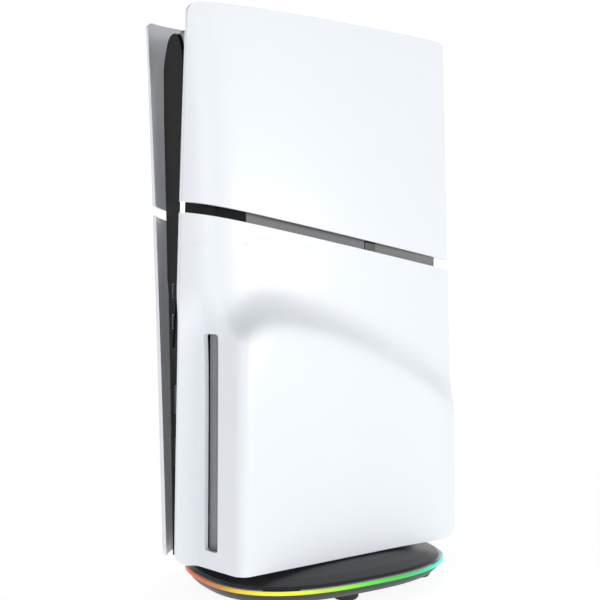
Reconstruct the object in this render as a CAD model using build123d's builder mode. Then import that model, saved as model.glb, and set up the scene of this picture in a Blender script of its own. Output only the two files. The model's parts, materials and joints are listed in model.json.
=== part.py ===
from build123d import *
import math
import os

# A slim upright game console with a disc drive, on an oval stand with a lit rim.
# Millimetres, +Z up, front towards -Y, disc side towards +X. The origin is on the desk, in the
# middle of the footprint. The console is drawn from its own underside and lifted onto the stand.

os.makedirs("parts", exist_ok=True)

# ---- driving dimensions ----
console_height = 358.0
console_lift = 23.0          # underside of the console above the desk
console_side = -13.0         # the stand reaches further out under the drive bulge
console_back = 0.9           # centres the console and stand on the origin
front_low_y = -103.1         # front edge of the covers, at the underside and at the top
front_high_y = -106.6
rear_low_y = 104.8
rear_high_y = 99.0
fin_low_x = 10.0             # where the covers' front edges start, at the underside
fin_high_x = 32.0
side_x = 42.2                # widest half width of a plain cover
cover_wall = 2.4
seam_front_z = 234.8         # upper edge of the diagonal seam between a side's two covers
seam_rear_z = 200.1
seam_height = 6.8
cover_corner = 8.0

bulge_x = 55.9               # half width over the drive bulge
bulge_rear_x = 46.9
bulge_corner_y = -80.2
face_y = -90.0               # the bulge's slanted front face passes (17, face_y)
face_slope = 0.27
crest_front_z = 159.2        # highest point of the bulge's shoulder
corner_crest_z = 150.0       # the shoulder at the bulge's front corner
face_crest_rise = 17.0       # how much higher it starts at the front edge
corner_run = 54.0            # way back along the skin to the corner, and to the highest point
crest_run = 80.0
pace_change = 58.0
crest_blend = 27.0           # height of the soft slope above the bulge

disc_x = 28.4                # the disc's plane
disc_centre = (-12.0, 81.0)  # Y and Z of the spindle
slot_width = 12.0
slot_bottom = 11.5
slot_top = 151.0

housing_x = 33.0
housing_front = -83.8
housing_rear = 92.0
housing_wall = 2.0
housing_bottom = 5.0
housing_top = 353.0
drive_step_x = 16.0          # the right half steps in beside the drive
drive_step_z = 168.0

stand_centre = (0.0, 4.9)
stand_half_x = 66.8
stand_half_y = 91.8
stand_power = 2.6
ring_bottom = 12.1
ring_height = 2.4
foot_height = 6.0

fit_gap = 0.3
shaft_gap = 0.05
press_travel = 0.8

on_stand = Location((console_side, console_back, console_lift))
desk = Location((0, 0, 0))


def mix(start, end, share):
    return start + (end - start) * share


def front_y(z):
    return mix(front_low_y, front_high_y, z / console_height)


def rear_y(z):
    return mix(rear_low_y, rear_high_y, z / console_height)


def seam_z(y):
    return mix(seam_front_z, seam_rear_z, (y - front_high_y) / (rear_high_y - front_high_y))


def save(piece, name, place=on_stand):
    """Puts a finished piece in its place, names it and writes it."""
    solid = piece.part.moved(place)
    solid.label = name
    export_step(solid, f"parts/{name}.step")


def block(x, y, z, mode=Mode.ADD):
    """A box between two corners, each given as a (low, high) pair."""
    centre = ((x[0] + x[1]) / 2, (y[0] + y[1]) / 2, (z[0] + z[1]) / 2)
    with Locations(centre):
        Box(x[1] - x[0], y[1] - y[0], z[1] - z[0], mode=mode)


def rod_x(y, z, radius, x0, x1, mode=Mode.ADD):
    """A round rod along X."""
    with Locations(Location(((x0 + x1) / 2, y, z), (0, 90, 0))):
        Cylinder(radius, x1 - x0, mode=mode)


def rod_y(x, z, radius, y0, y1, mode=Mode.ADD):
    """A round rod along Y."""
    with Locations(Location((x, (y0 + y1) / 2, z), (90, 0, 0))):
        Cylinder(radius, y1 - y0, mode=mode)


def rod_z(x, y, radius, z0, z1, mode=Mode.ADD):
    """A round rod along Z."""
    with Locations((x, y, (z0 + z1) / 2)):
        Cylinder(radius, z1 - z0, mode=mode)


# ---- covers ----
# Each side has one smooth skin, cut into an upper and a lower cover by the seam.

def fin_x(z):
    """Half width at the front edge: it opens from a narrow foot to a wide top."""
    rise = z / console_height
    return mix(fin_low_x, fin_high_x, 0.7 * rise + 0.3 * rise * rise)


def plain_x(y, z):
    """Half width of the plain skin: a gentle curve that turns in towards the front edge."""
    rise = z / console_height
    flank = side_x + 0.5 * rise - 0.0006 * rise * (y + 36) ** 2
    return flank - (flank - fin_x(z)) * math.exp((front_y(z) - y) / (15 - 6 * rise))


def bulge_path(z):
    """Plan of the drive bulge: fin, slanted slot face, round corner, flat side, rear flange."""
    root = fin_x(z) + 4.5
    return FilletPolyline(
        (fin_x(z) - 2, front_y(z) - 6),
        (root, face_y + face_slope * (root - 17)),
        (bulge_x, bulge_corner_y),
        (47.2, 52),
        (bulge_rear_x, 89),
        (40.6, 112),
        radius=[5, 9, 120, 6],
    )


def crest_z(run):
    """Height of the bulge's shoulder against the way back along the skin.

    It falls across the slanted slot face to the corner, rises again just behind it, then falls
    away in a long curve to the rear."""
    ahead = max(0, crest_run - run)
    behind = max(0, run - crest_run)
    face = corner_crest_z + face_crest_rise * (1 - run / corner_run)
    side = crest_front_z - 0.016 * ahead ** 2 - 0.135 * behind ** 2 / (behind + 12) - 0.0017 * behind ** 2
    return 0.5 * (face + side + math.sqrt((face - side) ** 2 + 9))


def plain_y(z, run, length):
    """Y on the plain skin that goes with a point on the bulge: slow across the slot face, then
    faster along the side, with a gentle change of pace between them."""
    start = front_y(z) - 6
    slow = (-78 - start) / pace_change
    fast = (112 - start - slow * length) / (length - pace_change)
    return start + slow * run + fast * 12 * math.log1p(math.exp((run - pace_change) / 12))


skin_steps = 50
# Shares of the way back along the skin, close together at the front. Every section uses the same
# ones, which keeps the lofted skin light and even.
skin_shares = [(math.exp(1.6 * k / skin_steps) - 1) / (math.exp(1.6) - 1) for k in range(skin_steps + 1)]


def skin_points(z, has_bulge):
    """Points of the outer skin at one height, from the front edge back."""
    path = bulge_path(min(max(z, 0), 200))
    points = []
    for share in skin_shares:
        on_path = path @ share
        run = share * path.length
        y = plain_y(z, run, path.length)
        plain = Vector(plain_x(y, z), y)
        swell = 0
        if has_bulge:
            over = (z - crest_z(run)) / crest_blend
            over = 0.5 * (over + math.sqrt(over * over + 0.045))
            swell = max(0, 1 - over) ** 2.5
        points.append(plain + (Vector(on_path.X, on_path.Y) - plain) * swell)
    return points


def skin_section(z, has_bulge):
    """A thin closed section of the skin at one height."""
    outer = skin_points(z, has_bulge)
    inner = []
    for index, point in enumerate(outer):
        ahead = outer[min(index + 1, len(outer) - 1)] - outer[max(index - 1, 0)]
        inner.append(point + Vector(-ahead.Y, ahead.X).normalized() * cover_wall)
    outside = Edge.make_spline(outer, parameters=skin_shares)
    inside = Edge.make_spline(inner, parameters=skin_shares)
    with BuildSketch(Plane.XY.offset(z)) as section:
        with BuildLine():
            add(outside)
            add(inside)
            Line(outside @ 0, inside @ 0)
            Line(outside @ 1, inside @ 1)
        make_face()
    return section.sketch


def cover_outline(upper):
    """Side outline of a cover, as a sketch looking along X."""
    low = seam_height
    if upper:
        corners = [
            (front_y(seam_front_z), seam_z(front_high_y)),
            (rear_y(seam_rear_z), seam_z(rear_high_y)),
            (rear_high_y, console_height),
            (front_high_y, console_height),
        ]
    else:
        corners = [
            (front_low_y, 0),
            (rear_low_y, 0),
            (rear_y(seam_rear_z), seam_z(rear_high_y) - low),
            (front_y(seam_front_z), seam_z(front_high_y) - low),
        ]
    with BuildSketch(Plane.YZ) as outline:
        with BuildLine():
            Polyline(*corners, close=True)
        make_face()
        outer_z = console_height if upper else 0
        # The sketch's own axes are Y and Z here, so its second coordinate is the height.
        rounded = [v for v in outline.vertices() if abs(v.Y - outer_z) < 1]
        fillet(rounded, 6 if upper else cover_corner)
    return outline.sketch


def slot_sketch(width, low, high):
    """The disc slot's outline, looking along Y."""
    with BuildSketch(Plane.XZ) as slot:
        with Locations((disc_x, (low + high) / 2)):
            RectangleRounded(width, high - low, 2.2)
    return slot.sketch


def make_cover(upper, has_bulge):
    if upper:
        heights = [194 + 28.5 * k for k in range(7)]
    elif has_bulge:
        heights = [-3 + 4.8 * k for k in range(51)]
    else:
        heights = [-3 + 30 * k for k in range(9)]
    sections = [skin_section(z, has_bulge and not upper) for z in heights]
    outline = cover_outline(upper)
    slot = slot_sketch(slot_width, slot_bottom, slot_top)
    with BuildPart() as cover:
        loft(sections)
        extrude(outline, amount=80, dir=(1, 0, 0), mode=Mode.INTERSECT)
        if has_bulge and not upper:
            extrude(slot, amount=120, dir=(0, -1, 0), mode=Mode.SUBTRACT)
    return cover


def mirrored(piece):
    with BuildPart() as twin:
        mirror(piece.part, about=Plane.YZ)
    return twin


upper_cover = make_cover(upper=True, has_bulge=False)
save(upper_cover, "cover_right_upper")
save(mirrored(upper_cover), "cover_left_upper")
save(make_cover(upper=False, has_bulge=True), "cover_right_lower")
save(mirrored(make_cover(upper=False, has_bulge=False)), "cover_left_lower")


# ---- black front blade and the frame behind it ----
bezel_front = -101.4
bezel_back = -98.8
valley_top_z = 141.0
guide_low_z = 187
blade_half = [(3, 2.6), (110, 4.2), (valley_top_z, 5.6), (187, 7.7), (232, 10.1), (290, 13.6), (322, 14.3)]


def blade_outline(grow=0.0):
    """Front view of the black bezel: a point at the foot, a round arch at the head."""
    right = [(x + grow, z) for z, x in blade_half if z > valley_top_z]
    with BuildSketch(Plane.XZ) as outline:
        with BuildLine():
            Polyline((0, valley_top_z - 2 * grow), *right)
            head = (0, 344.5 + grow)
            Spline(right[-1], (10.6 + grow, 335.5), head, tangents=[(0, 1), (-1, 0)])
            mirror(about=Plane.YZ)
        make_face()
    return outline.sketch


bezel_sketch = blade_outline()
bezel_pocket = blade_outline(grow=fit_gap)
port_heights = (158.0, 178.0)
with BuildSketch(Plane.XZ) as port_holes:
    with Locations([(0, z) for z in port_heights]):
        RectangleRounded(3.9, 9.7, 1.6)

with BuildPart() as front_bezel:
    extrude(bezel_sketch, amount=-bezel_front, dir=(0, -1, 0))
    extrude(bezel_sketch, amount=-bezel_back, dir=(0, -1, 0), mode=Mode.SUBTRACT)
    extrude(port_holes.sketch, amount=120, dir=(0, -1, 0), mode=Mode.SUBTRACT)
save(front_bezel, "front_bezel")


def frame_section(z, half, front, valley, wide_left, wide_right):
    """Plan of the front frame: a shallow valley between two edges, then its sloping flanks."""
    back = housing_front - 0.2
    with BuildSketch(Plane.XY.offset(z)) as section:
        with BuildLine():
            Polyline(
                (-half, front), (0, valley), (half, front), (wide_right, -91.5),
                (wide_right + 2.5, back), (-wide_left, back), (-wide_left, -91.5), close=True,
            )
        make_face()
    return section.sketch


button_heights = {"power_button": 107.0, "eject_button": 72.0}
# The right flank is narrower low down, where the drive bulge's fin passes it.
frame_levels = [
    frame_section(4, 2.6, -99.2, -96.8, 15, 8.5),
    frame_section(110, 4.2, -100.5, -98.0, 18, 12),
    frame_section(valley_top_z, 5.6, -100.7, -100.2, 20, 14),
    frame_section(187, 7.7, -100.7, -100.6, 23, 23),
    frame_section(322, 14.3, -100.4, -100.3, 27, 27),
]
with BuildSketch(Plane.XZ) as button_holes:
    with Locations([(0, z) for z in button_heights.values()]):
        SlotOverall(20.6, 3.9, rotation=90)

with BuildPart() as front_frame:
    for lower, upper in zip(frame_levels, frame_levels[1:]):
        loft([lower, upper], ruled=True)
    with BuildSketch(Plane.XZ.offset(-bezel_back - 0.1)):
        add(bezel_pocket)
    extrude(amount=10, mode=Mode.SUBTRACT)
    block((-20, 20), (-110, bezel_back - 0.1), (guide_low_z - fit_gap, 330), mode=Mode.SUBTRACT)
    extrude(port_holes.sketch, amount=110, dir=(0, -1, 0), mode=Mode.SUBTRACT)
    extrude(button_holes.sketch, amount=110, dir=(0, -1, 0), mode=Mode.SUBTRACT)
    block((-8, 8), (-91.5, -80), (48, 192), mode=Mode.SUBTRACT)
save(front_frame, "front_frame")

# The cap rises from the bezel's arch to the top of the housing.
with BuildPart() as top_cap:
    for y, half, shoulder, peak in ((-98.7, 14.3, 10.6, 344.5), (-84, 25.0, 21.0, housing_top)):
        with BuildSketch(Plane.XZ.offset(-y)):
            with BuildLine():
                Line((-half, 322.2), (half, 322.2))
                Spline((half, 322.2), (shoulder, 0.6 * peak + 0.4 * 322.2), (0, peak),
                       (-shoulder, 0.6 * peak + 0.4 * 322.2), (-half, 322.2))
            make_face()
    loft()
save(top_cap, "top_cap")

# Clear light guides slope back from the bezel's edges and glow white. Seen from one side, the far
# one is hidden behind the bezel.
guide_back = bezel_back - 0.15


def guide_section(z, half, reach):
    """Plan of the right light guide at one height: a triangle beside the bezel."""
    inner = half + fit_gap
    with BuildSketch(Plane.XY.offset(z)) as section:
        with BuildLine():
            Polyline((inner, guide_back), (inner, bezel_front + 0.4), (inner + reach, guide_back), close=True)
        make_face()
    return section.sketch


guide_levels = [guide_section(z, x, 2.2 + 0.008 * (z - guide_low_z)) for z, x in blade_half if z >= guide_low_z]
with BuildPart() as light_guides:
    for lower, upper in zip(guide_levels, guide_levels[1:]):
        loft([lower, upper], ruled=True)
    mirror(about=Plane.YZ)
save(light_guides, "light_guides")

for name, z in button_heights.items():
    with BuildPart() as button:
        with BuildSketch(Plane.XZ.offset(95.5)):
            with Locations((0, z)):
                SlotOverall(20.0, 3.3, rotation=90)
        extrude(amount=3.9)
        fillet(button.faces().sort_by(Axis.Y)[0].edges(), 0.5)
        block((-1, 1), (-95.5, -88.6), (z - 3, z + 3))
    save(button, name)

with BuildPart() as button_board:
    block((-7, 7), (-86.6, -85.2), (52, 188))
    for z in button_heights.values():
        rod_y(0, z, 1.6, -87.6, -86.6)
    for z in port_heights:
        block((-4, 4), (-90, -86.6), (z - 5, z + 5))
save(button_board, "button_board")

with BuildPart() as usb_c_ports:
    for z in port_heights:
        with BuildSketch(Plane.XZ.offset(90)):
            with Locations((0, z)):
                RectangleRounded(3.3, 9.1, 1.5)
        extrude(amount=11)
        with BuildSketch(Plane.XZ.offset(95)):
            with Locations((0, z)):
                RectangleRounded(2.6, 8.4, 1.2)
        extrude(amount=6, mode=Mode.SUBTRACT)
        block((-0.35, 0.35), (-100, -95), (z - 3.3, z + 3.3))
save(usb_c_ports, "usb_c_ports")


# ---- seam trims: they close the diagonal seam behind the covers ----
trim_back_x = 31.0 + housing_wall + 0.1


def seam_band(y0, y1, margin):
    """A slice of the seam between two Y values, seen along X, a little taller than the seam."""
    with BuildSketch(Plane.YZ) as band:
        with BuildLine():
            Polyline(
                (y0, seam_z(y0) + margin), (y1, seam_z(y1) + margin),
                (y1, seam_z(y1) - seam_height - margin), (y0, seam_z(y0) - seam_height - margin),
                close=True,
            )
        make_face()
    return band.sketch


def seam_trim(y0, y1, x0, x1, margin=1.5):
    band = seam_band(y0, y1, margin)
    with BuildPart() as trim:
        extrude(band, amount=x1, dir=(1, 0, 0))
        extrude(band, amount=x0, dir=(1, 0, 0), mode=Mode.SUBTRACT)
    return trim


def pair(*pieces):
    """Pieces of the right side together with their mirror images."""
    with BuildPart() as both:
        for piece in pieces:
            add(piece.part)
            mirror(piece.part, about=Plane.YZ)
    return both


main_trim = seam_trim(-66, 27.5, trim_back_x, 34.6)
rear_trim = seam_trim(37, 90, trim_back_x, 34.2)
save(pair(main_trim, rear_trim), "seam_trims")
save(pair(seam_trim(28, 36.5, trim_back_x, 35.0)), "seam_dividers")


# ---- housing: two half shells ----
def housing_plan(inset):
    """Plan of the right half of the housing; the left half is its mirror image."""
    edge = 0 if inset == 0 else -1
    with BuildSketch(Plane.XY) as plan:
        with BuildLine():
            Polyline(
                (edge, housing_front + inset), (24 - 0.5 * inset, housing_front + inset),
                (housing_x - inset, -68 + 0.5 * inset), (housing_x - inset, 55 - 0.2 * inset),
                (28 - inset, housing_rear - inset), (edge, housing_rear - inset), close=True,
            )
        make_face()
    return plan.sketch


outer_plan = housing_plan(0)
inner_plan = housing_plan(housing_wall)


def housing_half(low, high):
    """An open half shell between two heights."""
    with BuildPart() as half:
        with BuildSketch(Plane.XY.offset(low)):
            add(outer_plan)
        extrude(amount=high - low)
        with BuildSketch(Plane.XY.offset(low + housing_wall)):
            add(inner_plan)
        extrude(amount=high - low - 2 * housing_wall, mode=Mode.SUBTRACT)
    return half


left_source = housing_half(housing_bottom, housing_top)
board_screws = [(-72, 20), (-72, 115), (-72, 212), (80, 160), (80, 212)]
with BuildPart() as housing_left:
    mirror(left_source.part, about=Plane.YZ)
    for y, z in board_screws:
        rod_x(y, z, 3.5, -29, -8.85)
    for y, z in board_screws:
        rod_x(y, z, 1.5, -22, -8, mode=Mode.SUBTRACT)
    block((-26, 1), (85, 95), (12, 150), mode=Mode.SUBTRACT)
    block((-24, 1), (85, 95), (176, 340), mode=Mode.SUBTRACT)
    block((-36, -20), (-62, 22), (174, 208), mode=Mode.SUBTRACT)
save(housing_left, "housing_left")

with BuildPart() as housing_right:
    add(left_source.part)
    block((drive_step_x, 40), (-90, 100), (0, drive_step_z), mode=Mode.SUBTRACT)
    with BuildSketch(Plane.XY.offset(housing_bottom)):
        add(outer_plan)
    extrude(amount=drive_step_z - housing_bottom)
    block((drive_step_x, 40), (-90, 100), (0, drive_step_z - housing_wall), mode=Mode.SUBTRACT)
    with BuildSketch(Plane.XY.offset(housing_bottom + housing_wall)):
        add(inner_plan)
        with Locations((drive_step_x - housing_wall + 30, 0)):
            Rectangle(60, 220, mode=Mode.SUBTRACT)
    extrude(amount=drive_step_z - housing_bottom - 2 * housing_wall, mode=Mode.SUBTRACT)
    block((-1, drive_step_x - housing_wall), (housing_front + housing_wall, housing_rear - housing_wall),
          (drive_step_z - 5, drive_step_z + 5), mode=Mode.SUBTRACT)
    block((-1, 10), (85, 95), (12, 150), mode=Mode.SUBTRACT)
    block((-1, 24), (85, 95), (176, 340), mode=Mode.SUBTRACT)
save(housing_right, "housing_right")

# ---- back: exhaust grille and socket panel ----
grille_low = 154.0
grille_high = 350.0
slat_pitch = 5.6
with BuildPart() as rear_grille:
    block((-27, 27), (housing_rear + 0.1, housing_rear + 3), (grille_low, grille_high))
    for low, high in ((-24.5, -1.2), (1.2, 24.5)):
        for k in range(int((grille_high - grille_low - 8) / slat_pitch)):
            z = grille_low + 4 + k * slat_pitch
            block((low, high), (housing_rear, housing_rear + 4), (z, z + slat_pitch - 1.8), mode=Mode.SUBTRACT)
save(rear_grille, "rear_grille")

# Sockets on the back: name, X range, Z range, and the opening's inset.
sockets = {
    "power_inlet": ((-24, -12), (18, 40)),
    "usb_a_port_low": ((-7.1, -0.1), (52, 66)),
    "usb_a_port_high": ((-7.1, -0.1), (72, 86)),
    "lan_port": ((-7.1, 8.9), (94, 110)),
    "hdmi_port": ((-7.1, -1.1), (118, 134)),
}
with BuildPart() as socket_panel:
    block((-27, 15.5), (housing_rear + 0.1, housing_rear + 2), (8, grille_low - 0.5))
    for x, z in sockets.values():
        block((x[0] - fit_gap, x[1] + fit_gap), (90, 96), (z[0] - fit_gap, z[1] + fit_gap), mode=Mode.SUBTRACT)
save(socket_panel, "socket_panel")

socket_back = 74.0
socket_face = housing_rear + 2.2


def make_socket(name):
    """A socket's shell, open to the back, with its pins or its tongue."""
    x, z = sockets[name]
    wall = 1.0 if name == "lan_port" else 0.6
    middle = (x[0] + x[1]) / 2
    with BuildPart() as socket:
        block(x, (socket_back, socket_face), z)
        block((x[0] + wall, x[1] - wall), (socket_face - 11, socket_face + 1), (z[0] + wall, z[1] - wall),
              mode=Mode.SUBTRACT)
        if name == "power_inlet":
            for pin_z in (-4.3, 4.3):
                rod_y(middle, (z[0] + z[1]) / 2 + pin_z, 1.2, socket_face - 12, socket_face - 2)
        elif name != "lan_port":
            block((middle - 0.8, middle + 0.8), (socket_face - 12, socket_face - 1), (z[0] + 2, z[1] - 2))
    return socket


for name in ("power_inlet", "lan_port", "hdmi_port"):
    save(make_socket(name), name)

with BuildPart() as usb_a_ports:
    add(make_socket("usb_a_port_low").part)
    add(make_socket("usb_a_port_high").part)
save(usb_a_ports, "usb_a_ports")

# ---- inside, left of the middle: board, shields, supply, storage ----
board_x = (-8.8, -7.2)
with BuildPart() as main_board:
    block(board_x, (-78, 86), (12, 222))
    for y, z in board_screws:
        rod_x(y, z, 1.7, -10, -6, mode=Mode.SUBTRACT)
save(main_board, "main_board")

with BuildPart() as board_screw_set:
    for y, z in board_screws:
        rod_x(y, z, 1.5 - shaft_gap, -20, board_x[1])
        rod_x(y, z, 3.0, board_x[1], -5.7)
save(board_screw_set, "board_screws")

with BuildPart() as processor:
    block((-7.2, -6.0), (-8, 38), (97, 143))
    block((-6.0, -5.0), (2, 28), (107, 133))
save(processor, "processor")

with BuildPart() as memory_chips:
    for y, z in ((-24, 90), (-24, 108), (-24, 126), (-24, 144), (52, 90), (52, 108), (52, 126), (52, 144)):
        block((-7.2, -6.1), (y - 5, y + 5), (z - 7, z + 7))
save(memory_chips, "memory_chips")

with BuildPart() as heat_sink:
    block((-5.0, -2.0), (0, 30), (105, 135))
    block((-2.0, 0.0), (-12, 70), (30, 215))
    for k in range(44):
        z = 31 + 4.2 * k
        block((-0.5, 13.5), (-12, 70), (z, z + 0.6))
save(heat_sink, "heat_sink")

with BuildPart() as heat_pipes:
    for y in (4, 15, 26):
        for low, high in ((32, 104.5), (135.5, 213)):
            block((-4.9, -2.05), (y - 3.5, y + 3.5), (low, high))
    fillet(heat_pipes.edges().filter_by(Axis.Z), 1.2)
save(heat_pipes, "heat_pipes")

with BuildPart() as shield_right:
    block((-5.6, -5.2), (-70, 84), (14, 204))
    block((-6, -5), (-11, 41), (94, 146), mode=Mode.SUBTRACT)
    block((-6, -5), (-3, 33), (30, 216), mode=Mode.SUBTRACT)
    block((-6, -5), (72, 90), (10, 170), mode=Mode.SUBTRACT)
    for y, z in board_screws:
        rod_x(y, z, 4, -6, -5, mode=Mode.SUBTRACT)
save(shield_right, "shield_right")

with BuildPart() as shield_left:
    block((-10.4, -10.0), (-66, 70), (14, 218))
    block((-11, -9), (-62, 22), (178, 206), mode=Mode.SUBTRACT)
    for y, z in board_screws:
        rod_x(y, z, 4, -11, -9, mode=Mode.SUBTRACT)
save(shield_left, "shield_left")

with BuildPart() as power_supply:
    block((-29, -11), (-40, 50), (12, 150))
    fillet(power_supply.edges().filter_by(Axis.X), 3)
save(power_supply, "power_supply")

with BuildPart() as storage_module:
    block((-12.6, -11.8), (-60, 20), (181, 203))
    for y in (-48, -28, -6):
        block((-14.0, -12.6), (y - 7, y + 7), (184, 200))
save(storage_module, "storage_module")

with BuildPart() as storage_cover:
    block((-33, -31.6), (-61.5, 21.5), (174.5, 207.5))
    fillet(storage_cover.edges().filter_by(Axis.X), 2)
save(storage_cover, "storage_cover")

with BuildPart() as coin_cell:
    rod_x(55, 190, 10, -14.2, -11)
save(coin_cell, "coin_cell")

with BuildPart() as antennas:
    for y in (-55, 30):
        block((-30.6, -29.8), (y - 8, y + 8), (240, 310))
save(antennas, "antennas")

# ---- blower ----
fan_y = -18.0
fan_z = 284.0
fan_half = 54.0
fan_bore = 50.0
rotor_radius = 47.0
with BuildPart() as fan_frame:
    block((-20, 20), (fan_y - fan_half, fan_y + fan_half), (fan_z - fan_half, fan_z + fan_half))
    fillet(fan_frame.edges().filter_by(Axis.X), 8)
    rod_x(fan_y, fan_z, fan_bore, -21, 16.5, mode=Mode.SUBTRACT)
    rod_x(fan_y, fan_z, 36, 16, 21, mode=Mode.SUBTRACT)
    for angle in (0, 60, 120):
        with Locations(Location((18.3, fan_y, fan_z), (angle, 0, 0))):
            Box(3.2, 2 * 37, 5)
    rod_x(fan_y, fan_z, 13, 15.5, 19.9)
    rod_x(fan_y, fan_z, 2, 10, 21, mode=Mode.SUBTRACT)
save(fan_frame, "fan_frame")

with BuildPart() as fan_rotor:
    rod_x(fan_y, fan_z, rotor_radius, 12, 13.6)
    rod_x(fan_y, fan_z, 20, -14, 12)
    rod_x(fan_y, fan_z, 2 - shaft_gap, 13, 19)
    for k in range(25):
        turn = math.radians(360 / 25 * k)
        spot = Location((-1, fan_y + 37 * math.cos(turn), fan_z + 37 * math.sin(turn)),
                        (math.degrees(turn) + 28, 0, 0))
        with Locations(spot):
            Box(26.5, 17, 1.2)
    with Locations(Location((-14, fan_y, fan_z), (0, 90, 0))):
        Cylinder(rotor_radius, 1.4)
        Cylinder(43, 1.4, mode=Mode.SUBTRACT)
save(fan_rotor, "fan_rotor")

# ---- disc drive ----
spin_y, spin_z = disc_centre
case_y = (-80.0, 51.0)
case_z = (17.0, 145.0)
case_wall = 1.5
rail_x = 23.6
rail_radius = 1.5
rail_heights = (spin_z - 17, spin_z + 17)
screw_z = spin_z + 27
roller_y = -75.0
roller_x = 24.6
with BuildPart() as drive_case:
    block((19, 34), case_y, case_z)
    block((19 + case_wall, 35), (case_y[0] + case_wall, case_y[1] - case_wall),
          (case_z[0] + case_wall, case_z[1] - case_wall), mode=Mode.SUBTRACT)
    block((25.9, 30.9), (case_y[0] - 1, case_y[0] + 3), (19, 143), mode=Mode.SUBTRACT)
    for z in rail_heights:
        block((20.0, 25.6), (-0.8, 1.2), (z - 2, z + 2))
save(drive_case, "drive_case")

with BuildPart() as drive_lid:
    block((34.05, 35.4), case_y, case_z)
    fillet(drive_lid.edges().filter_by(Axis.X), 3)
    rod_x(spin_y, spin_z, 8.6, 33, 36, mode=Mode.SUBTRACT)
save(drive_lid, "drive_lid")

with BuildPart() as disc_clamp:
    rod_x(spin_y, spin_z, 13, 31.2, 33.4)
    rod_x(spin_y, spin_z, 8, 33.4, 36)
save(disc_clamp, "disc_clamp")

with BuildPart() as spindle_base:
    rod_x(spin_y, spin_z, 11, 20.5, 24.0)
    rod_x(spin_y, spin_z, 1.5, 20, 25, mode=Mode.SUBTRACT)
save(spindle_base, "spindle_base")

with BuildPart() as turntable:
    rod_x(spin_y, spin_z, 13, 24.4, 27.6)
    rod_x(spin_y, spin_z, 7.3, 27.6, 30.4)
    rod_x(spin_y, spin_z, 1.5 - shaft_gap, 21, 24.4)
save(turntable, "turntable")

with BuildPart() as optical_sled:
    block((21.2, 25.8), (2.5, 16), (spin_z - 21, spin_z + 21))
    block((21.2, 25.8), (6, 12), (spin_z + 21, screw_z + 3))
    rod_x(12, spin_z, 2.6, 25.8, 26.6)
    for z in rail_heights:
        rod_y(rail_x, z, rail_radius + shaft_gap, 0, 20, mode=Mode.SUBTRACT)
    rod_y(rail_x, screw_z, rail_radius + shaft_gap, 0, 20, mode=Mode.SUBTRACT)
save(optical_sled, "optical_sled")

with BuildPart() as sled_rails:
    for z in rail_heights:
        rod_y(rail_x, z, rail_radius, 1.2, case_y[1] - case_wall)
save(sled_rails, "sled_rails")

with BuildPart() as sled_motor:
    rod_y(rail_x, screw_z, 3, -16, 0.5)
    rod_y(rail_x, screw_z, 0.8, -12, 1, mode=Mode.SUBTRACT)
save(sled_motor, "sled_motor")

with BuildPart() as lead_screw:
    rod_y(rail_x, screw_z, rail_radius, 1, 49.2)
    rod_y(rail_x, screw_z, 0.8 - shaft_gap, -10, 1)
save(lead_screw, "lead_screw")

with BuildPart() as feed_roller:
    rod_z(roller_x, roller_y, 3, 22, 128)
    rod_z(roller_x, roller_y, 1.0 - shaft_gap, 128, 137)
save(feed_roller, "feed_roller")

with BuildPart() as feed_motor:
    rod_z(roller_x, roller_y, 3.2, 129, 143)
    rod_z(roller_x, roller_y, 1.0, 128, 138, mode=Mode.SUBTRACT)
save(feed_motor, "feed_motor")

with BuildPart() as drive_board:
    block((20.5, 22.0), (-60, -30), (22, 60))
    block((22.0, 23.4), (-52, -40), (32, 46))
save(drive_board, "drive_board")

# Two dark grey lips behind the slot keep dust out and leave a gap for the disc.
lip_gap = 2.2
with BuildPart() as slot_lips:
    with BuildSketch(Plane.XY.offset(9)):
        with BuildLine():
            Polyline((21.2, -84.6), (disc_x - lip_gap, -82.4), (disc_x - lip_gap, -80.05),
                     (21.2, -80.05), close=True)
        make_face()
        with BuildLine():
            Polyline((disc_x + lip_gap, -82.0), (35.6, -81.6), (35.6, -80.05),
                     (disc_x + lip_gap, -80.05), close=True)
        make_face()
    extrude(amount=145)
save(slot_lips, "slot_lips")

# ---- stand ----


def oval(inset, z):
    """The stand's rounded oval, drawn in from its widest line."""
    half_x = stand_half_x - inset
    half_y = stand_half_y - inset
    points = []
    for k in range(48):
        turn = 2 * math.pi * k / 48
        across = math.copysign(abs(math.cos(turn)) ** (2 / stand_power), math.cos(turn))
        along = math.copysign(abs(math.sin(turn)) ** (2 / stand_power), math.sin(turn))
        points.append((stand_centre[0] + half_x * across, stand_centre[1] + half_y * along))
    with BuildSketch(Plane.XY.offset(z)) as sketch:
        with BuildLine():
            Spline(*points, periodic=True)
        make_face()
    return sketch.sketch


ring_top = ring_bottom + ring_height
shell_top = 22.5
feet = [(47, -3), (-32, -62), (-47, 11), (32, 70)]
port_x = (20.3, 29.3)        # charging port and mode button, at the back of the base
mode_button_x = (-30, -24)
port_z = (7.5, 10.5)

base_levels = [oval(6, foot_height), oval(3.5, 8.6), oval(1.2, ring_bottom - 0.1)]
with BuildPart() as stand_base:
    loft(base_levels[:2], ruled=True)
    loft(base_levels[1:], ruled=True)
    with BuildSketch(Plane.XY.offset(foot_height + 2.2)):
        add(oval(14, 0))
    extrude(amount=20, mode=Mode.SUBTRACT)
    for x in (port_x, mode_button_x):
        block((x[0] - fit_gap, x[1] + fit_gap), (74, 100), (port_z[0] - fit_gap, port_z[1] + fit_gap),
              mode=Mode.SUBTRACT)
save(stand_base, "stand_base", desk)

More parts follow.
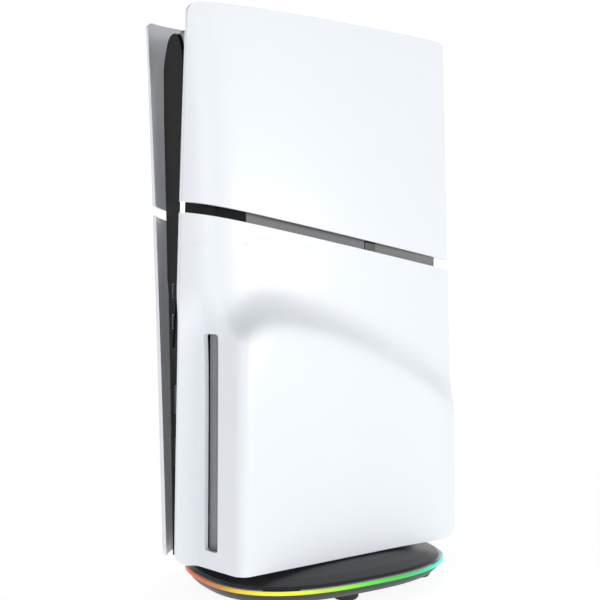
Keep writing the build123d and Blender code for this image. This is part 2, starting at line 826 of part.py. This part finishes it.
with BuildPart() as stand_light_ring:
    extrude(oval(0, ring_bottom), amount=ring_height)
    extrude(oval(5, ring_bottom), amount=ring_height, mode=Mode.SUBTRACT)
    fillet(stand_light_ring.edges().group_by(Axis.Z)[-1].sort_by(SortBy.LENGTH)[-1], 0.9)
    fillet(stand_light_ring.edges().group_by(Axis.Z)[0].sort_by(SortBy.LENGTH)[-1], 0.7)
save(stand_light_ring, "stand_light_ring", desk)

dome = [oval(2.6, ring_top + 0.1), oval(4.2, 16.6), oval(12, 18.9), oval(24, 21.2), oval(34, shell_top)]
hollow = [oval(6.6, ring_top), oval(26, shell_top - 3.4)]
with BuildPart() as stand_top:
    for lower, upper in zip(dome, dome[1:]):
        loft([lower, upper], ruled=True)
    loft(hollow, ruled=True, mode=Mode.SUBTRACT)
save(stand_top, "stand_top", desk)

with BuildPart() as stand_mode_button:
    block(mode_button_x, (83, 89.6), port_z)
    fillet(stand_mode_button.faces().sort_by(Axis.Y)[-1].edges(), 0.6)
save(stand_mode_button, "stand_mode_button", desk)

with BuildPart() as stand_control_board:
    block((-34, -18), (58, 70), (8.3, 9.7))
    block((-28.5, -25.5), (66, 82), (9.7, 10.5))
    block((-24, -19), (60, 65), (9.7, 10.8))
save(stand_control_board, "stand_control_board", desk)

with BuildPart() as stand_usb_port:
    block(port_x, (80, 88.2), port_z)
    block((port_x[0] + 0.5, port_x[1] - 0.5), (82, 93), (port_z[0] + 0.5, port_z[1] - 0.5), mode=Mode.SUBTRACT)
    block((port_x[0] + 1.5, port_x[1] - 1.5), (81, 87.4), (8.7, 9.3))
save(stand_usb_port, "stand_usb_port", desk)

with BuildPart() as stand_light_board:
    extrude(oval(5.6, ring_bottom), amount=1.4)
    extrude(oval(13, ring_bottom), amount=1.4, mode=Mode.SUBTRACT)
save(stand_light_board, "stand_light_board", desk)

with BuildPart() as stand_weight:
    block((-40, 40), (-50, 55), (foot_height + 2.3, foot_height + 8.3))
    fillet(stand_weight.edges().filter_by(Axis.Z), 8)
save(stand_weight, "stand_weight", desk)

with BuildPart() as stand_saddle:
    block((-31, 6), (-66, 82), (shell_top, console_lift + housing_bottom))
    fillet(stand_saddle.edges().filter_by(Axis.Z), 10)
save(stand_saddle, "stand_saddle", desk)

with BuildPart() as stand_feet:
    for x, y in feet:
        rod_z(x, y, 8.5, 1.2, foot_height)
        rod_z(x, y, 7.5, 0, 1.2)
save(stand_feet, "stand_feet", desk)
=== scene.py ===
"""Looks, studio and camera for an upright game console on a lit stand."""

import json
import math

import bmesh
import bpy
from mathutils import Matrix, Vector


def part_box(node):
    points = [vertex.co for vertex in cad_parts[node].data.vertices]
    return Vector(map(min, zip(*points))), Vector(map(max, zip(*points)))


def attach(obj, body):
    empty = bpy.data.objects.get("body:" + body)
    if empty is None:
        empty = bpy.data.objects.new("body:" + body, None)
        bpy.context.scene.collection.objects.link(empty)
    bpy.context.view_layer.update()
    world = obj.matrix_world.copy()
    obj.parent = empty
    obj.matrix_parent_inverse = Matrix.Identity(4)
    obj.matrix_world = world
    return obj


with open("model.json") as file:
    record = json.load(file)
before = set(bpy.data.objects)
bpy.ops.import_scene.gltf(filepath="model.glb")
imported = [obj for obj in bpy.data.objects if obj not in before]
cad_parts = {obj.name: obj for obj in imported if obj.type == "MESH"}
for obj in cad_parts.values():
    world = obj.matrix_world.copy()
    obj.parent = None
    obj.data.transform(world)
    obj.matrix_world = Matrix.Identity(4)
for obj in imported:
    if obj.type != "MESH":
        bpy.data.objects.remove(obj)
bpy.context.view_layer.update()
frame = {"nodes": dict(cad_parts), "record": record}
NODES = frame["nodes"]
MM = 0.001

# ---- places worked out from the frame ----
RING_LOW, RING_HIGH = (Vector(corner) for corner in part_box("stand_light_ring"))
RING_CENTRE = (RING_LOW + RING_HIGH) / 2
STAND_POWER = 2.6  # how square the stand's oval is
CONSOLE_X = -13 * MM  # the console stands this far off the stand's middle plane

# ---- camera: front right, at mid height, looking almost level ----
CAMERA_TURN = 57.47  # degrees round from straight ahead of the console
CAMERA_TILT = 1.46  # degrees down
CAMERA_ROLL = 0.37
CAMERA_DISTANCE = 0.72119
CAMERA_SIDEWAYS = -0.00229
CAMERA_HEIGHT = 0.21264
CAMERA_BACK = 0.0009
CAMERA_LENS = 61.39
CAMERA_SENSOR = 36

# ---- studio, in metres: a flat floor, then a bend, then a wall ----
FLOOR_RINGS = (0.3, 0.9, 1.6, 2.2)
BEND_RADIUS = 0.8
BEND_STEPS = 12
WALL_TOP = 1.5
STUDIO_SIDES = 96
PAPER_COLOUR = (0.32, 0.325, 0.33)
PAPER_GLOW = 0.88
AIR_COLOUR = (0.95, 0.97, 1.0, 1)
AIR_STRENGTH = 0.06
LIGHT_AIM = (0, 0, 0.2)

# ---- pieces made here ----
TRIM_STEPS = 240
TRIM_SECTION = ((1.0, 0.02), (1.3, 0.30), (3.0, 0.45), (3.0, 0.02))  # inset and height, in mm
FELT_ROWS = 150
FELT_SET_BACK = 2.4 * MM  # from the lips' front to the felt's root
FELT_MARGIN = 1 * MM  # from the lips' ends to the felt's ends
FELT_WIDTH = 3.0 * MM
FELT_THICKNESS = 0.5 * MM
FELT_LEAN = 0.4 * MM  # how far the meeting edges come forward of the root


def make_camera():
    turn = math.radians(CAMERA_TURN)
    tilt = math.radians(CAMERA_TILT)
    roll = math.radians(CAMERA_ROLL)
    right = Vector((math.cos(turn), math.sin(turn), 0))
    ahead = Vector(
        (-math.sin(turn) * math.cos(tilt), math.cos(turn) * math.cos(tilt), -math.sin(tilt))
    )
    up = right.cross(ahead)
    right, up = (
        right * math.cos(roll) + up * math.sin(roll),
        up * math.cos(roll) - right * math.sin(roll),
    )
    data = bpy.data.cameras.new("camera")
    data.lens = CAMERA_LENS
    data.sensor_width = CAMERA_SENSOR
    camera = bpy.data.objects.new("camera", data)
    bpy.context.scene.collection.objects.link(camera)
    place = Vector((math.sin(turn), -math.cos(turn), 0)) * CAMERA_DISTANCE
    place += Vector((math.cos(turn), math.sin(turn), 0)) * CAMERA_SIDEWAYS
    place += Vector((CONSOLE_X, CAMERA_BACK, CAMERA_HEIGHT))
    basis = Matrix((right, up, -ahead)).transposed().to_4x4()
    camera.matrix_world = Matrix.Translation(place) @ basis
    bpy.context.scene.camera = camera


def area_light(name, place, size, power):
    data = bpy.data.lights.new(name, "AREA")
    data.shape = "RECTANGLE"
    data.size, data.size_y = size
    data.energy = power
    light = bpy.data.objects.new(name, data)
    light.location = place
    aim = Vector(LIGHT_AIM) - Vector(place)
    light.rotation_euler = aim.to_track_quat("-Z", "Y").to_euler()
    bpy.context.scene.collection.objects.link(light)


def studio_paper():
    """Dull paper with a glow of its own, so that the studio is white where no light reaches."""
    material, tree, shader = fresh_material("studio_paper")
    shader.inputs["Base Color"].default_value = (*PAPER_COLOUR, 1)
    shader.inputs["Roughness"].default_value = 0.9
    shader.inputs["Specular IOR Level"].default_value = 0.1
    shader.inputs["Emission Color"].default_value = (1, 1, 1, 1)
    shader.inputs["Emission Strength"].default_value = PAPER_GLOW
    return material


def make_floor():
    """A pale floor that curves up into a round wall, so that it has no horizon from any side."""
    profile = [(radius, 0.0) for radius in FLOOR_RINGS]
    flat = FLOOR_RINGS[-1]
    for k in range(1, BEND_STEPS + 1):
        bend = math.pi / 2 * k / BEND_STEPS
        profile.append(
            (flat + BEND_RADIUS * math.sin(bend), BEND_RADIUS - BEND_RADIUS * math.cos(bend))
        )
    profile.append((flat + BEND_RADIUS, WALL_TOP))
    mesh = bmesh.new()
    rings = []
    for radius, z in profile:
        ring = []
        for k in range(STUDIO_SIDES):
            turn = 2 * math.pi * k / STUDIO_SIDES
            ring.append(mesh.verts.new((radius * math.cos(turn), radius * math.sin(turn), z)))
        rings.append(ring)
    mesh.faces.new(rings[0])
    for low, high in zip(rings, rings[1:]):
        for k in range(STUDIO_SIDES):
            after = (k + 1) % STUDIO_SIDES
            mesh.faces.new((low[k], high[k], high[after], low[after]))
    data = bpy.data.meshes.new("studio_floor")
    mesh.to_mesh(data)
    mesh.free()
    for face in data.polygons:
        face.use_smooth = True
    floor = bpy.data.objects.new("studio_floor", data)
    bpy.context.scene.collection.objects.link(floor)
    data.materials.append(studio_paper())


def make_studio():
    make_floor()
    world = bpy.data.worlds.new("studio_air")
    bpy.context.scene.world = world
    world.use_nodes = True
    air = world.node_tree.nodes["Background"]
    air.inputs["Color"].default_value = AIR_COLOUR
    air.inputs["Strength"].default_value = AIR_STRENGTH
    area_light("key", (1.5, -1.3, 0.35), (1.0, 0.7), 4)
    area_light("side", (2.0, 0.7, 0.12), (1.2, 0.6), 18)
    area_light("front", (-0.3, -1.9, 0.4), (0.8, 0.7), 0.5)
    area_light("back", (-1.4, 1.6, 0.8), (1.2, 0.8), 3)


# ---- material building blocks ----
BROAD = 14.0  # noise scale of the slow unevenness in a moulded part's gloss and colour
TRACK_SCALE = 160  # brick scale of a board's copper tracks
CAP_FADE = 14 * MM  # the top cap fades across this far either side of the console's middle
INNER_PAINTED_LIGHT = 0.075  # painted light: emission strength on the covers' inside faces, which lifts them out of the shade in the gap
INNER_TILT = (0.15, 0.35)  # the painted light comes in between these X parts of the normal


def fresh_material(name):
    material = bpy.data.materials.new(name)
    material.use_nodes = True
    return material, material.node_tree, material.node_tree.nodes["Principled BSDF"]


def noise(tree, scale, detail=3.0, stretch=None):
    """A noise pattern in the object's own metres, stretched along an axis if asked."""
    place = tree.nodes.new("ShaderNodeTexCoord")
    grain = tree.nodes.new("ShaderNodeTexNoise")
    grain.inputs["Scale"].default_value = scale
    grain.inputs["Detail"].default_value = detail
    source = place.outputs["Object"]
    if stretch:
        mapping = tree.nodes.new("ShaderNodeMapping")
        mapping.inputs["Scale"].default_value = stretch
        tree.links.new(source, mapping.inputs["Vector"])
        source = mapping.outputs["Vector"]
    tree.links.new(source, grain.inputs["Vector"])
    return grain.outputs["Fac"]


def spread(tree, value, low, high):
    """Maps a 0 to 1 value onto a narrow range."""
    narrow = tree.nodes.new("ShaderNodeMapRange")
    narrow.inputs["To Min"].default_value = low
    narrow.inputs["To Max"].default_value = high
    tree.links.new(value, narrow.inputs["Value"])
    return narrow.outputs["Result"]


def bump(tree, shader, value, strength, depth):
    """Fine relief, with its depth in mm."""
    node = tree.nodes.new("ShaderNodeBump")
    node.inputs["Strength"].default_value = strength
    node.inputs["Distance"].default_value = depth * MM
    tree.links.new(value, node.inputs["Height"])
    tree.links.new(node.outputs["Normal"], shader.inputs["Normal"])


def tinted(tree, value, dark, light):
    """Fades between two colours over the middle of a 0 to 1 value."""
    ramp = tree.nodes.new("ShaderNodeValToRGB")
    ramp.color_ramp.elements[0].color = (*dark, 1)
    ramp.color_ramp.elements[1].color = (*light, 1)
    ramp.color_ramp.elements[0].position = 0.3
    ramp.color_ramp.elements[1].position = 0.7
    tree.links.new(value, ramp.inputs["Fac"])
    return ramp.outputs["Color"]


def x_share(tree, coordinates, low, high, top=1.0):
    """0 to top as the X of the coordinates named goes from low to high."""
    place = tree.nodes.new("ShaderNodeTexCoord")
    split = tree.nodes.new("ShaderNodeSeparateXYZ")
    share = tree.nodes.new("ShaderNodeMapRange")
    share.inputs["From Min"].default_value = low
    share.inputs["From Max"].default_value = high
    share.inputs["To Max"].default_value = top
    tree.links.new(place.outputs[coordinates], split.inputs["Vector"])
    tree.links.new(split.outputs["X"], share.inputs["Value"])
    return share.outputs["Result"]


def angle_share(tree):
    """0 to 1 once around the stand's centre, starting from -X."""
    place = tree.nodes.new("ShaderNodeTexCoord")
    shift = tree.nodes.new("ShaderNodeVectorMath")
    shift.operation = "SUBTRACT"
    shift.inputs[1].default_value = (RING_CENTRE.x, RING_CENTRE.y, 0)
    split = tree.nodes.new("ShaderNodeSeparateXYZ")
    turn = tree.nodes.new("ShaderNodeMath")
    turn.operation = "ARCTAN2"
    share = tree.nodes.new("ShaderNodeMapRange")
    share.inputs["From Min"].default_value = -math.pi
    share.inputs["From Max"].default_value = math.pi
    tree.links.new(place.outputs["Object"], shift.inputs[0])
    tree.links.new(shift.outputs["Vector"], split.inputs["Vector"])
    tree.links.new(split.outputs["Y"], turn.inputs[0])
    tree.links.new(split.outputs["X"], turn.inputs[1])
    tree.links.new(turn.outputs["Value"], share.inputs["Value"])
    return share.outputs["Result"]


def stop_at(degrees):
    """The share of a turn at which an angle around the stand lies."""
    return (degrees + 180) / 360


# ---- materials ----
def plastic(name, colour, roughness, grain=900, depth=0.03, coat=0.0, vary=0.06, shine=0.5):
    """Moulded plastic: fine grain, slightly uneven gloss and a trace of colour variation."""
    material, tree, shader = fresh_material(name)
    broad = noise(tree, BROAD)
    fine = noise(tree, grain, 2.0)
    dark = [c * (1 - vary / 2) for c in colour]
    light = [min(1, c * (1 + vary / 2)) for c in colour]
    gloss = spread(tree, broad, roughness * 0.88, roughness * 1.12)
    tree.links.new(tinted(tree, broad, dark, light), shader.inputs["Base Color"])
    tree.links.new(gloss, shader.inputs["Roughness"])
    bump(tree, shader, fine, 0.35, depth)
    shader.inputs["Specular IOR Level"].default_value = shine
    shader.inputs["Coat Weight"].default_value = coat
    shader.inputs["Coat Roughness"].default_value = 0.06
    return material


def cover_white(name, inner_side):
    """Satin white plastic with painted light: the inside faces, whose normals point to
    inner_side along X, glow faintly, which lifts them out of the shade in the gap between the
    covers."""
    material = plastic(name, (0.79, 0.82, 0.86), 0.36, 1500, 0.015, coat=0.1, vary=0.012)
    tree = material.node_tree
    shader = tree.nodes["Principled BSDF"]
    # Painted light: a faint bluish white emission on the inside faces only.
    low, high = (tilt * inner_side for tilt in INNER_TILT)
    painted_light = x_share(tree, "Normal", low, high, top=INNER_PAINTED_LIGHT)
    tree.links.new(painted_light, shader.inputs["Emission Strength"])
    shader.inputs["Emission Color"].default_value = (0.92, 0.95, 1.0, 1)
    return material


def faded_cap(name):
    """Gloss plastic that fades from near black on the left to white on the right."""
    material, tree, shader = fresh_material(name)
    across = x_share(tree, "Object", CONSOLE_X - CAP_FADE, CONSOLE_X + CAP_FADE)
    fade = tinted(tree, across, (0.03, 0.03, 0.032), (0.80, 0.81, 0.82))
    gloss = spread(tree, noise(tree, BROAD), 0.14, 0.2)
    tree.links.new(fade, shader.inputs["Base Color"])
    tree.links.new(gloss, shader.inputs["Roughness"])
    return material


def metal(name, colour, roughness, stretch=(1, 1, 1), grain=500):
    """Bare metal, brushed along the axes that stretch leaves at 1."""
    material, tree, shader = fresh_material(name)
    shader.inputs["Metallic"].default_value = 1.0
    brushed = noise(tree, grain, 4.0, stretch)
    dark = [c * 0.9 for c in colour]
    gloss = spread(tree, brushed, roughness * 0.8, roughness * 1.25)
    tree.links.new(tinted(tree, brushed, dark, colour), shader.inputs["Base Color"])
    tree.links.new(gloss, shader.inputs["Roughness"])
    bump(tree, shader, brushed, 0.2, 0.02)
    return material


def board(name, colour):
    """Solder mask with faint copper tracks under it."""
    material, tree, shader = fresh_material(name)
    place = tree.nodes.new("ShaderNodeTexCoord")
    tracks = tree.nodes.new("ShaderNodeTexBrick")
    tracks.inputs["Scale"].default_value = TRACK_SCALE
    tracks.inputs["Mortar Size"].default_value = 0.035
    tracks.inputs["Color1"].default_value = (*colour, 1)
    tracks.inputs["Color2"].default_value = (*[c * 0.8 for c in colour], 1)
    tracks.inputs["Mortar"].default_value = (*[min(1, c * 1.9 + 0.01) for c in colour], 1)
    mapping = tree.nodes.new("ShaderNodeMapping")
    mapping.inputs["Rotation"].default_value = (0, math.pi / 2, 0)
    tree.links.new(place.outputs["Object"], mapping.inputs["Vector"])
    tree.links.new(mapping.outputs["Vector"], tracks.inputs["Vector"])
    tree.links.new(tracks.outputs["Color"], shader.inputs["Base Color"])
    shader.inputs["Roughness"].default_value = 0.35
    bump(tree, shader, tracks.outputs["Fac"], 0.3, 0.04)
    return material


def glowing(name, colour, strength):
    """A lit diffuser of one colour, very slightly cloudy."""
    material, tree, shader = fresh_material(name)
    dark = [c * 0.93 for c in colour]
    cloudy = tinted(tree, noise(tree, 60.0), dark, colour)
    tree.links.new(cloudy, shader.inputs["Emission Color"])
    shader.inputs["Base Color"].default_value = (*colour, 1)
    shader.inputs["Roughness"].default_value = 0.4
    shader.inputs["Emission Strength"].default_value = strength
    return material


# Colours of the lit rim against the angle around the stand, in degrees from +X.
RIM_COLOURS = [
    (-180, (0.70, 0.03, 0.35)),
    (-130, (0.75, 0.05, 0.03)),
    (-100, (0.62, 0.11, 0.02)),
    (-86, (0.60, 0.10, 0.01)),
    (-74, (0.62, 0.26, 0.02)),
    (-66, (0.85, 0.60, 0.02)),
    (-56, (0.95, 0.90, 0.02)),
    (-42, (0.92, 1.00, 0.03)),
    (-30, (0.54, 0.80, 0.04)),
    (-18, (0.28, 0.90, 0.01)),
    (-2, (0.06, 0.80, 0.02)),
    (16, (0.03, 0.66, 0.02)),
    (32, (0.02, 0.66, 0.20)),
    (44, (0.02, 0.85, 0.55)),
    (58, (0.03, 0.82, 0.84)),
    (68, (0.05, 0.26, 0.58)),
    (80, (0.42, 0.34, 0.90)),
    (115, (0.35, 0.08, 0.95)),
    (145, (0.80, 0.04, 0.75)),
    (180, (0.70, 0.03, 0.35)),
]


def rim_light(name):
    """The lit diffuser: its colour runs once through the spectrum around the stand."""
    material, tree, shader = fresh_material(name)
    ramp = tree.nodes.new("ShaderNodeValToRGB")
    tree.links.new(angle_share(tree), ramp.inputs["Fac"])
    first, *between, last = RIM_COLOURS
    stops = ramp.color_ramp.elements
    stops[0].color = (*first[1], 1)
    stops[1].color = (*last[1], 1)
    for angle, colour in between:
        stops.new(stop_at(angle)).color = (*colour, 1)
    tree.links.new(ramp.outputs["Color"], shader.inputs["Emission Color"])
    shader.inputs["Base Color"].default_value = (0.02, 0.02, 0.02, 1)
    shader.inputs["Emission Strength"].default_value = 1.0
    shader.inputs["Roughness"].default_value = 0.35
    return material


def segmented_trim(name):
    """Pale grey edge trim, broken by two black lengths on the drive's side."""
    material, tree, shader = fresh_material(name)
    ramp = tree.nodes.new("ShaderNodeValToRGB")
    ramp.color_ramp.interpolation = "CONSTANT"
    tree.links.new(angle_share(tree), ramp.inputs["Fac"])
    pale, black = (0.30, 0.31, 0.31, 1), (0.008, 0.008, 0.008, 1)
    stops = ramp.color_ramp.elements
    stops[0].color = pale
    stops[1].color = pale
    for start, end in ((-57, -42), (44, 52)):
        stops.new(stop_at(start)).color = black
        stops.new(stop_at(end)).color = pale
    tree.links.new(ramp.outputs["Color"], shader.inputs["Base Color"])
    tree.links.new(spread(tree, noise(tree, 40.0), 0.22, 0.3), shader.inputs["Roughness"])
    return material


# Slots of plain moulded plastic: colour, roughness, and what differs from plastic()'s defaults.
PLASTICS = {
    "bezel_black": ((0.011, 0.011, 0.0115), 0.32, {"depth": 0.01, "vary": 0.05, "shine": 0.03}),
    "frame_dark": ((0.014, 0.014, 0.0145), 0.5, {"grain": 1200, "depth": 0.04, "shine": 0.12}),
    "grille_dark": ((0.03, 0.03, 0.032), 0.45, {"grain": 1200, "depth": 0.04}),
    "button_black": ((0.014, 0.014, 0.015), 0.16, {"grain": 400, "depth": 0.01, "coat": 0.4}),
    "trim_grey": ((0.16, 0.16, 0.165), 0.4, {"grain": 1200}),
    "divider_black": ((0.012, 0.012, 0.013), 0.15, {"grain": 400, "depth": 0.01, "coat": 0.5}),
    "inlet_black": ((0.02, 0.02, 0.021), 0.5, {}),
    "chip_black": ((0.02, 0.02, 0.022), 0.55, {"grain": 1500}),
    "fan_black": ((0.022, 0.022, 0.023), 0.42, {"grain": 700, "depth": 0.05}),
    "drive_plastic": ((0.06, 0.06, 0.065), 0.45, {"depth": 0.04}),
    "lip_grey": ((0.25, 0.26, 0.275), 0.75, {"grain": 2600, "depth": 0.1, "vary": 0.2}),
    "rubber_black": ((0.018, 0.018, 0.018), 0.8, {"grain": 700, "depth": 0.05}),
    "stand_satin": ((0.034, 0.035, 0.037), 0.38, {"grain": 1600, "shine": 0.35}),
}

# Slots of metal: colour, roughness, and what differs from metal()'s defaults.
METALS = {
    "socket_metal": ((0.62, 0.62, 0.63), 0.3, {"stretch": (1, 12, 1)}),
    "chip_lid": ((0.70, 0.71, 0.72), 0.32, {}),
    "fins": ((0.80, 0.81, 0.82), 0.3, {"stretch": (1, 14, 1)}),
    "pipes": ((0.90, 0.47, 0.30), 0.28, {}),
    "steel_plate": ((0.62, 0.62, 0.61), 0.34, {"stretch": (1, 9, 1)}),
    "weight_iron": ((0.3, 0.3, 0.3), 0.6, {"grain": 200}),
}


def make_finishes():
    """One material for each of the record's slots."""
    finishes = {
        "cover_white": cover_white("cover_white", -1),
        "cap_grey": faded_cap("cap_grey"),
        "guide_white": glowing("guide_white", (1.0, 1.0, 1.0), 1.1),
        "board_green": board("board_green", (0.01, 0.055, 0.03)),
        "ring_glow": rim_light("ring_glow"),
    }
    for make, looks in ((plastic, PLASTICS), (metal, METALS)):
        for name, (colour, roughness, rest) in looks.items():
            finishes[name] = make(name, colour, roughness, **rest)
    return finishes


def dress(piece, material):
    piece.data.materials.clear()
    piece.data.materials.append(material)


def finish_nodes(finishes):
    """Gives each carried-over piece its finish, by the record's slots."""
    for entry in frame["record"]["subparts"]:
        dress(NODES[entry["node"]], finishes[entry["material_slot"]])
    # The left covers' inside faces point to +X, so they get their own copy with the painted
    # light on that side.
    left_white = cover_white("cover_white_left", 1)
    for node in ("cover_left_upper", "cover_left_lower"):
        dress(NODES[node], left_white)


# ---- pieces made here ----
def add_piece(name, mesh, material):
    """Links a finished mesh as a piece on the console body."""
    data = bpy.data.meshes.new(name)
    bmesh.ops.recalc_face_normals(mesh, faces=mesh.faces)
    mesh.to_mesh(data)
    mesh.free()
    data.materials.append(material)
    piece = bpy.data.objects.new(name, data)
    bpy.context.scene.collection.objects.link(piece)
    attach(piece, "console")
    return piece


def oval(value):
    """A sine or cosine, squared off as the stand's outline is."""
    return math.copysign(abs(value) ** (2 / STAND_POWER), value)


def rim_trim():
    """The thin edge trim that lies on the lit rim, against the foot of the dome."""
    half = (RING_HIGH - RING_LOW) / 2
    mesh = bmesh.new()
    rings = []
    for k in range(TRIM_STEPS):
        turn = 2 * math.pi * k / TRIM_STEPS
        across, along = oval(math.cos(turn)), oval(math.sin(turn))
        ring = []
        for inset, rise in TRIM_SECTION:
            x = RING_CENTRE.x + (half.x - inset * MM) * across
            y = RING_CENTRE.y + (half.y - inset * MM) * along
            ring.append(mesh.verts.new((x, y, RING_HIGH.z + rise * MM)))
        rings.append(ring)
    for k in range(TRIM_STEPS):
        here, after = rings[k], rings[(k + 1) % TRIM_STEPS]
        for j in range(len(TRIM_SECTION)):
            over = (j + 1) % len(TRIM_SECTION)
            mesh.faces.new((here[j], after[j], after[over], here[over]))
    piece = add_piece("stand_edge_trim", mesh, segmented_trim("edge_trim"))
    for face in piece.data.polygons:
        face.use_smooth = abs(face.normal.z) < 0.9


def slot_felts(material):
    """Two felt flaps that close the disc slot until a disc parts them. Their meeting edges are
    ragged, and bend forwards a little."""
    low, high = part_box("slot_lips")
    middle = (low[0] + high[0]) / 2
    front = low[1] + FELT_SET_BACK
    bottom = low[2] + FELT_MARGIN
    length = high[2] - low[2] - 2 * FELT_MARGIN
    for name, side in (("slot_felt_left", -1), ("slot_felt_right", 1)):
        mesh = bmesh.new()
        rings = []
        root = middle + side * FELT_WIDTH
        for k in range(FELT_ROWS + 1):
            ragged = 0.05 + 0.04 * math.sin(k * 2.3) + 0.03 * math.sin(k * 5.1)
            edge = middle + side * ragged * MM
            z = bottom + length * k / FELT_ROWS
            ring = [
                (edge, front - FELT_LEAN),
                (root, front),
                (root, front + FELT_THICKNESS),
                (edge, front - FELT_LEAN + FELT_THICKNESS),
            ]
            rings.append([mesh.verts.new((x, y, z)) for x, y in ring])
        for lower, upper in zip(rings, rings[1:]):
            for j in range(4):
                over = (j + 1) % 4
                mesh.faces.new((lower[j], lower[over], upper[over], upper[j]))
        mesh.faces.new(rings[0])
        mesh.faces.new(rings[-1])
        add_piece(name, mesh, material)


make_camera()
make_studio()
FINISHES = make_finishes()
finish_nodes(FINISHES)
rim_trim()
slot_felts(FINISHES["lip_grey"])

bpy.context.scene.view_settings.view_transform = "Standard"
